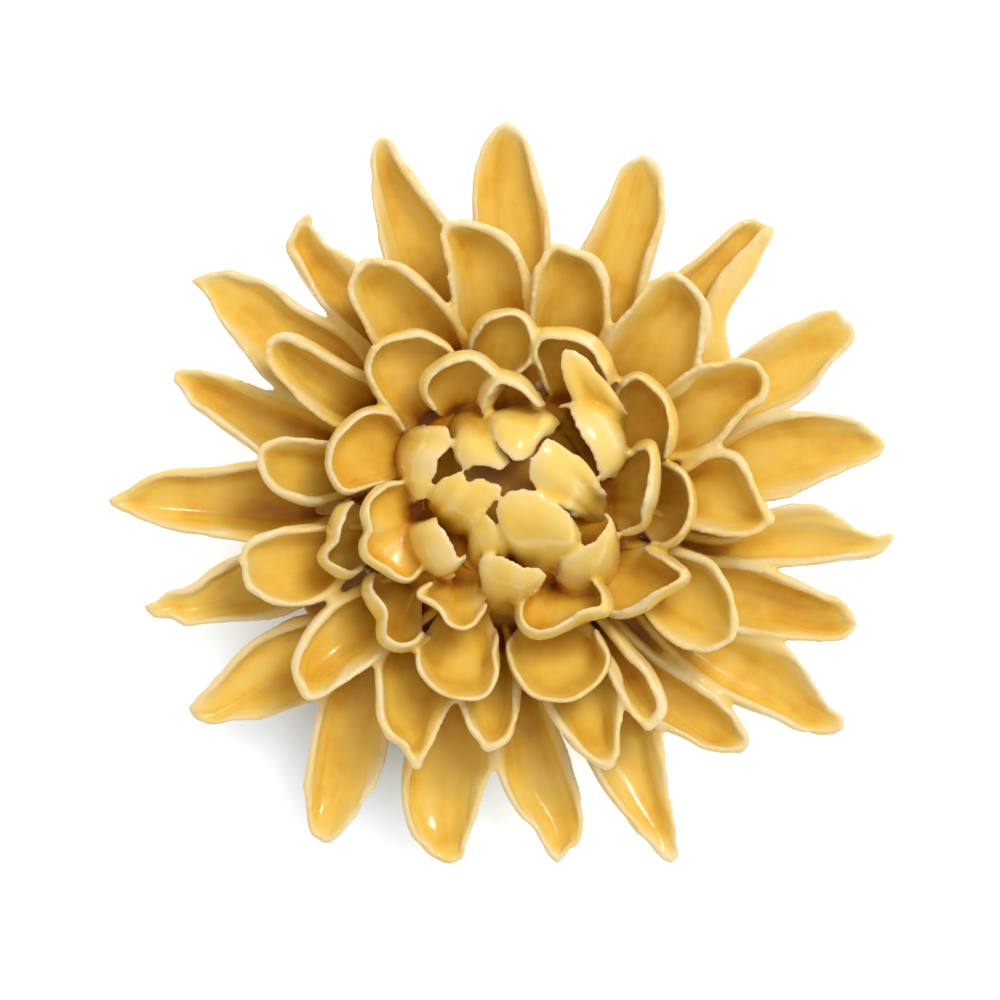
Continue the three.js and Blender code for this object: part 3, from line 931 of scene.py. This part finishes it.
def fused(name, shells, voxel):
    """One skin round all the shells: a voxel remesh joins them, a data transfer carries the clay's notes
    over from the nearest shell, the creases are filled, and the glaze marks are written on the mesh."""
    scene = bpy.context.scene
    source = bpy.data.objects.new(name + "_clay", mesh_of(name + "_clay", shells))
    scene.collection.objects.link(source)
    skin = bpy.data.objects.new(name, source.data.copy())
    scene.collection.objects.link(skin)
    remesh = skin.modifiers.new("fuse", "REMESH")
    remesh.mode = "VOXEL"
    remesh.voxel_size = voxel * MM
    skin.data = bpy.data.meshes.new_from_object(skin.evaluated_get(bpy.context.evaluated_depsgraph_get()))
    skin.modifiers.clear()
    skin.data.color_attributes.new("clay", "FLOAT_COLOR", "POINT")
    carry = skin.modifiers.new("carry", "DATA_TRANSFER")
    carry.object = source
    carry.use_vert_data = True
    carry.data_types_verts = {"COLOR_VERTEX"}
    carry.vert_mapping = "POLYINTERP_NEAREST"
    mesh = bpy.data.meshes.new_from_object(skin.evaluated_get(bpy.context.evaluated_depsgraph_get()))
    skin.modifiers.clear()
    skin.data = mesh
    mesh.name = name
    bpy.data.objects.remove(source)
    count = len(mesh.vertices)
    points = np.empty(count * 3, np.float32)
    mesh.vertices.foreach_get("co", points)
    points = points.reshape(-1, 3).astype(float) / MM
    clay = np.empty(count * 4, np.float32)
    mesh.color_attributes["clay"].data.foreach_get("color", clay)
    clay = clay.reshape(-1, 4).astype(float)
    edges = np.empty(len(mesh.edges) * 2, np.int32)
    mesh.edges.foreach_get("vertices", edges)
    edges = edges.reshape(-1, 2)
    degree = np.bincount(edges.ravel(), minlength=count).astype(float)
    quads = np.empty(len(mesh.loops), np.int32)
    mesh.loops.foreach_get("vertex_index", quads)
    quads = quads.reshape(-1, 4)
    points = filleted(points, quads, edges, degree, voxel)
    first, second = glaze_marks(points, quads, edges, degree, clay, voxel)
    mesh.vertices.foreach_set("co", (points * MM).astype(np.float32).ravel())
    mesh.color_attributes.remove(mesh.color_attributes["clay"])
    for layer, values in (("glaze", first), ("grain", second)):
        marks = mesh.color_attributes.new(layer, "FLOAT_COLOR", "POINT")
        marks.data.foreach_set("color", values.astype(np.float32).ravel())
    mesh.polygons.foreach_set("use_smooth", np.ones(len(mesh.polygons), bool))
    mesh.update()
    return skin


def linear(code):
    """sRGB hex colour as linear red, green and blue, with an alpha of one."""
    parts = [int(code[i : i + 2], 16) / 255 for i in (1, 3, 5)]
    return [c / 12.92 if c <= 0.04045 else ((c + 0.055) / 1.055) ** 2.4 for c in parts] + [1.0]


def add(tree, kind, inputs=(), **settings):
    """A new node with its own settings; each input is a value, or another node's output to link."""
    made = tree.nodes.new("ShaderNode" + kind)
    for name, value in settings.items():
        setattr(made, name, value)
    for name, value in dict(inputs).items():
        if isinstance(value, bpy.types.NodeSocket):
            tree.links.new(value, made.inputs[name])
        else:
            made.inputs[name].default_value = value
    return made


def set_stops(ramp, stops, interpolation="EASE"):
    """Places and colours of a colour ramp."""
    elements = ramp.color_ramp.elements
    while len(elements) < len(stops):
        elements.new(0.5)
    for element, (place, code) in zip(elements, stops):
        element.position = place
        element.color = linear(code)
    ramp.color_ramp.interpolation = interpolation
    return ramp.outputs["Color"]


def new_material(name):
    """Empty material with one Principled shader on its output."""
    material = bpy.data.materials.new(name)
    material.use_nodes = True
    tree = material.node_tree
    tree.nodes.clear()
    shader = add(tree, "BsdfPrincipled")
    add(tree, "OutputMaterial", {"Surface": shader.outputs[0]})
    return material, tree, shader


def honey_glaze():
    """Runny honey-coloured lead-type glaze, brushed on pale clay and fired glossy. It runs thin on rims,
    where the clay makes it cream, and gathers in hollows and joints, where it turns amber and brown;
    the same marks also carry painted shade, darker amber and brown in the hollows, joints and petal
    roots where shade falls, so one ramp of glaze depth and painted shade gives the colour. Brushed bands
    run along the petals, and the surface has the soft waves and few pits of a kiln-fired gloss."""
    material, tree, shader = new_material("fired_honey_glaze")
    glaze = add(tree, "Attribute", attribute_name="glaze")
    marks = add(tree, "SeparateColor", {"Color": glaze.outputs["Color"]})
    rim, pooled_glaze_and_shade, root = (marks.outputs[i] for i in range(3))
    grain = add(tree, "Attribute", attribute_name="grain")
    spread = add(tree, "SeparateColor", {"Color": grain.outputs["Color"]})
    place = add(tree, "TexCoord").outputs["Object"]
    band_place = add(
        tree, "CombineXYZ", {"X": spread.outputs[0], "Y": spread.outputs[1], "Z": glaze.outputs["Alpha"]}
    )
    stretched = add(
        tree, "VectorMath", {0: band_place.outputs[0], 1: (1.2, 7.0, 60.0)}, operation="MULTIPLY"
    )
    bands = add(
        tree, "TexNoise", {"Vector": stretched.outputs[0], "Scale": 1.0, "Detail": 2.0, "Roughness": 0.5}
    )
    clouds = add(tree, "TexNoise", {"Vector": place, "Scale": 1 / (7 * MM), "Detail": 3.0, "Roughness": 0.5})
    fine = {"Vector": place, "Scale": 1 / (1.6 * MM), "Detail": 2.0, "Roughness": 0.6}
    specks = add(tree, "TexNoise", fine)

    def total(terms, start=0.0):
        """Sum of sockets times their shares."""
        value = start
        for socket, share in terms:
            value = add(tree, "Math", {0: socket, 1: share, 2: value}, operation="MULTIPLY_ADD").outputs[0]
        return value

    # Depth of colour: deeper glaze and painted shade from the hollow and root marks, less the thin glaze on
    # rims, with random bands, clouds, specks and tint; its dark end is painted shade as well as pooled
    # glaze.
    depth = total(
        [
            (pooled_glaze_and_shade, 0.7),
            (root, 0.4),
            (rim, -0.3),
            (bands.outputs["Fac"], 0.24),
            (clouds.outputs["Fac"], 0.6),
            (specks.outputs["Fac"], 0.08),
            (glaze.outputs["Alpha"], 0.06),
        ],
        -0.41,
    )
    ramp = add(tree, "ValToRGB", {"Fac": depth})
    colour = set_stops(
        ramp,
        [
            (0.0, "#D9C799"), (0.14, "#D9C082"), (0.3, "#DCBE68"), (0.5, "#DDB54A"),
            (0.7, "#CF982C"), (0.86, "#AE6C18"), (1.0, "#7C430C"),
        ],
        "LINEAR",
    )
    tree.links.new(colour, shader.inputs["Base Color"])
    wave = add(tree, "TexNoise", {"Vector": place, "Scale": 1 / (3.2 * MM), "Detail": 1.5, "Roughness": 0.5})
    relief = total([(wave.outputs["Fac"], 1.0), (bands.outputs["Fac"], 0.5), (specks.outputs["Fac"], 0.15)])
    bump = add(tree, "Bump", {"Height": relief, "Strength": 0.35, "Distance": 0.25 * MM})
    tree.links.new(bump.outputs[0], shader.inputs["Normal"])
    rough = total([(rim, 0.12), (specks.outputs["Fac"], 0.08)], 0.19)
    tree.links.new(rough, shader.inputs["Roughness"])
    shader.inputs["IOR"].default_value = 1.5
    shader.inputs["Coat Weight"].default_value = 0.45
    shader.inputs["Coat Roughness"].default_value = 0.05
    return material


def bisque():
    """Unglazed fired clay of the back: pale, matt and finely sandy."""
    material, tree, shader = new_material("unglazed_bisque")
    place = add(tree, "TexCoord").outputs["Object"]
    sand = add(tree, "TexNoise", {"Vector": place, "Scale": 1 / (0.9 * MM), "Detail": 3.0, "Roughness": 0.6})
    stain = add(tree, "TexNoise", {"Vector": place, "Scale": 1 / (14 * MM), "Detail": 3.0, "Roughness": 0.6})
    shares = {0: sand.outputs["Fac"], 1: 0.35, 2: stain.outputs["Fac"]}
    mixed = add(tree, "Math", shares, operation="MULTIPLY_ADD")
    ramp = add(tree, "ValToRGB", {"Fac": mixed.outputs[0]})
    colour = set_stops(ramp, [(0.35, "#D9C8A8"), (0.9, "#EEE3CC")])
    tree.links.new(colour, shader.inputs["Base Color"])
    bump = add(tree, "Bump", {"Height": sand.outputs["Fac"], "Strength": 0.5, "Distance": 0.12 * MM})
    tree.links.new(bump.outputs[0], shader.inputs["Normal"])
    shader.inputs["Roughness"].default_value = 0.78
    return material


def paper_painted_glow_and_shadow():
    """Matt white paper sweep under the flower, with painted light: it glows as if on a light table, which
    keeps it white and lights the flower a little from below. It glows less round a point at the flower's
    lower left, which paints the shadow there."""
    material, tree, shader = new_material("paper_painted_glow_and_shadow")
    # Bluish, so that the shade on it, lit by light thrown back from the glaze, looks neutral grey.
    shader.inputs["Base Color"].default_value = linear("#B4C2D8")
    shader.inputs["Emission Color"].default_value = linear("#FFFFFF")
    place = add(tree, "TexCoord").outputs["Object"]
    # Painted shadow: the paper's own light is weakest within 10 mm of a point at the lower left and full
    # from 36 mm.
    from_painted_shadow = add(tree, "VectorMath", {0: place, 1: (-18 * MM, -28 * MM, 0)}, operation="DISTANCE")
    painted_glow_strength = add(tree, "MapRange", {"Value": from_painted_shadow.outputs["Value"], 1: 10 * MM, 2: 36 * MM, 3: 0.06, 4: 0.75})
    tree.links.new(painted_glow_strength.outputs[0], shader.inputs["Emission Strength"])
    shader.inputs["Roughness"].default_value = 0.9
    shader.inputs["Specular IOR Level"].default_value = 0.2
    return material


def keep(piece, material):
    """The piece stands for the flower's solid, rides with it and takes the given material as its finish."""
    piece.data.materials.clear()
    piece.data.materials.append(material)
    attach(piece, "root")
    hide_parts("ceramic_chrysanthemum")


def area_light(name, place, aim, size, watts):
    """Rectangular white lamp at a place, turned to face a point; both in millimetres."""
    lamp = bpy.data.lights.new(name, "AREA")
    lamp.shape = "RECTANGLE"
    lamp.size, lamp.size_y = size[0] * MM, size[1] * MM
    lamp.energy = watts
    held = bpy.data.objects.new(name, lamp)
    held.location = Vector(place) * MM
    held.rotation_euler = (Vector(aim) - Vector(place)).to_track_quat("-Z", "Y").to_euler()
    bpy.context.scene.collection.objects.link(held)
    return held


def finish_back(back, glaze, bare):
    """The dome and bevel are glazed and the flat underside is bare clay. The glaze there has no rim, and
    is as deep all over as at a petal's root, and carries the same painted shade as a root."""
    mesh = back.data
    count = len(mesh.vertices)
    mesh.color_attributes.remove(mesh.color_attributes["clay"])
    # Hollow and root marks of 0.6 all over: deeper glaze and painted shade.
    for layer, value in (("glaze", (0.0, 0.6, 0.6, 0.5)), ("grain", (0.1, 0.5, 1.0, 0.4))):
        marks = mesh.color_attributes.new(layer, "FLOAT_COLOR", "POINT")
        marks.data.foreach_set("color", np.tile(value, count).astype(np.float32))
    keep(back, glaze)
    mesh.materials.append(bare)
    heights = np.empty(len(mesh.polygons) * 3, np.float32)
    mesh.polygons.foreach_get("center", heights)
    bare_faces = heights.reshape(-1, 3)[:, 2] < BARE * MM
    mesh.polygons.foreach_set("material_index", bare_faces.astype(np.int32))
    mesh.polygons.foreach_set("use_smooth", np.ones(len(mesh.polygons), bool))


rng = np.random.default_rng(SEED)
glaze = honey_glaze()
shells = {}
for row, channels in CHANNELS.items():
    shells[row] = [channel_shell(in_millimetres({**CHANNEL_ROWS[row], **petal}), rng) for petal in channels]
for row, sheets in SHEETS.items():
    shells[row] = [sheet_shell({**SHEET_ROWS[row], **sheet}, rng) for sheet in sheets]

# Bands of the dome that carry the rows, so that the joints of the petals with it are filled too.
second_band = dome_band(17, 26)
third_band = dome_band(12, 19)
heart_cap = dome_band(0, 14.5)

# The outer row is kept in two halves, the upper right one and the lower left one.
upper = shells["outer"][:5] + shells["outer"][-5:]
lower = shells["outer"][5:-5]
keep(fused("outer_petals_upper", upper, VOXEL["outer"] * COARSE), glaze)
keep(fused("outer_petals_lower", lower, VOXEL["outer"] * COARSE), glaze)
keep(fused("second_petals", shells["second"] + [second_band], VOXEL["second"] * COARSE), glaze)
keep(fused("third_petals", shells["third"] + [third_band], VOXEL["third"] * COARSE), glaze)
heart = shells["fourth"] + shells["leaning"] + [heart_cap]
keep(fused("heart_petals", heart, VOXEL["heart"] * COARSE), glaze)

lowered = [(radius, height - BAND / 2) for radius, height in DOME[1:]]
profile = smooth_profile(BACK + lowered)
back = bpy.data.objects.new("clay_back", welded(mesh_of("clay_back", [turned_shell(profile)])))
bpy.context.scene.collection.objects.link(back)
finish_back(back, glaze, bisque())

paper = bpy.data.objects.new("paper_sweep", bpy.data.meshes.new("paper_sweep"))
paper.data.from_pydata([(-4, -4, 0), (4, -4, 0), (4, 4, 0), (-4, 4, 0)], [], [(0, 1, 2, 3)])
paper.data.materials.append(paper_painted_glow_and_shadow())
bpy.context.scene.collection.objects.link(paper)

lens = bpy.data.cameras.new("camera")
lens.lens = LENS
lens.sensor_width = SENSOR
lens.clip_start = 0.01
camera = bpy.data.objects.new("camera", lens)
camera.location = Vector(CAMERA) * MM
bpy.context.scene.collection.objects.link(camera)
bpy.context.scene.camera = camera

# A broad soft lamp at the upper right, and a small one beside it that is the one mirrored in the glaze.
softbox = area_light("softbox", place=(330, 400, 900), aim=(0, 0, 10), size=(480, 480), watts=6.0)
softbox.visible_glossy = False
area_light("window", place=(430, 520, 780), aim=(0, 0, 10), size=(150, 190), watts=1.9)

world = bpy.data.worlds.new("studio")
bpy.context.scene.world = world
world.use_nodes = True
sky = world.node_tree.nodes["Background"]
sky.inputs["Color"].default_value = linear("#FFF5E6")
# The sky fills the shade, but is dimmed in mirrored rays, so that the glaze keeps its depth of colour.
glossy = add(world.node_tree, "LightPath").outputs["Is Glossy Ray"]
dimmed = add(world.node_tree, "MapRange", {"Value": glossy, 3: 0.86, 4: 0.16})
world.node_tree.links.new(dimmed.outputs[0], sky.inputs["Strength"])
bpy.context.scene.view_settings.view_transform = "Standard"
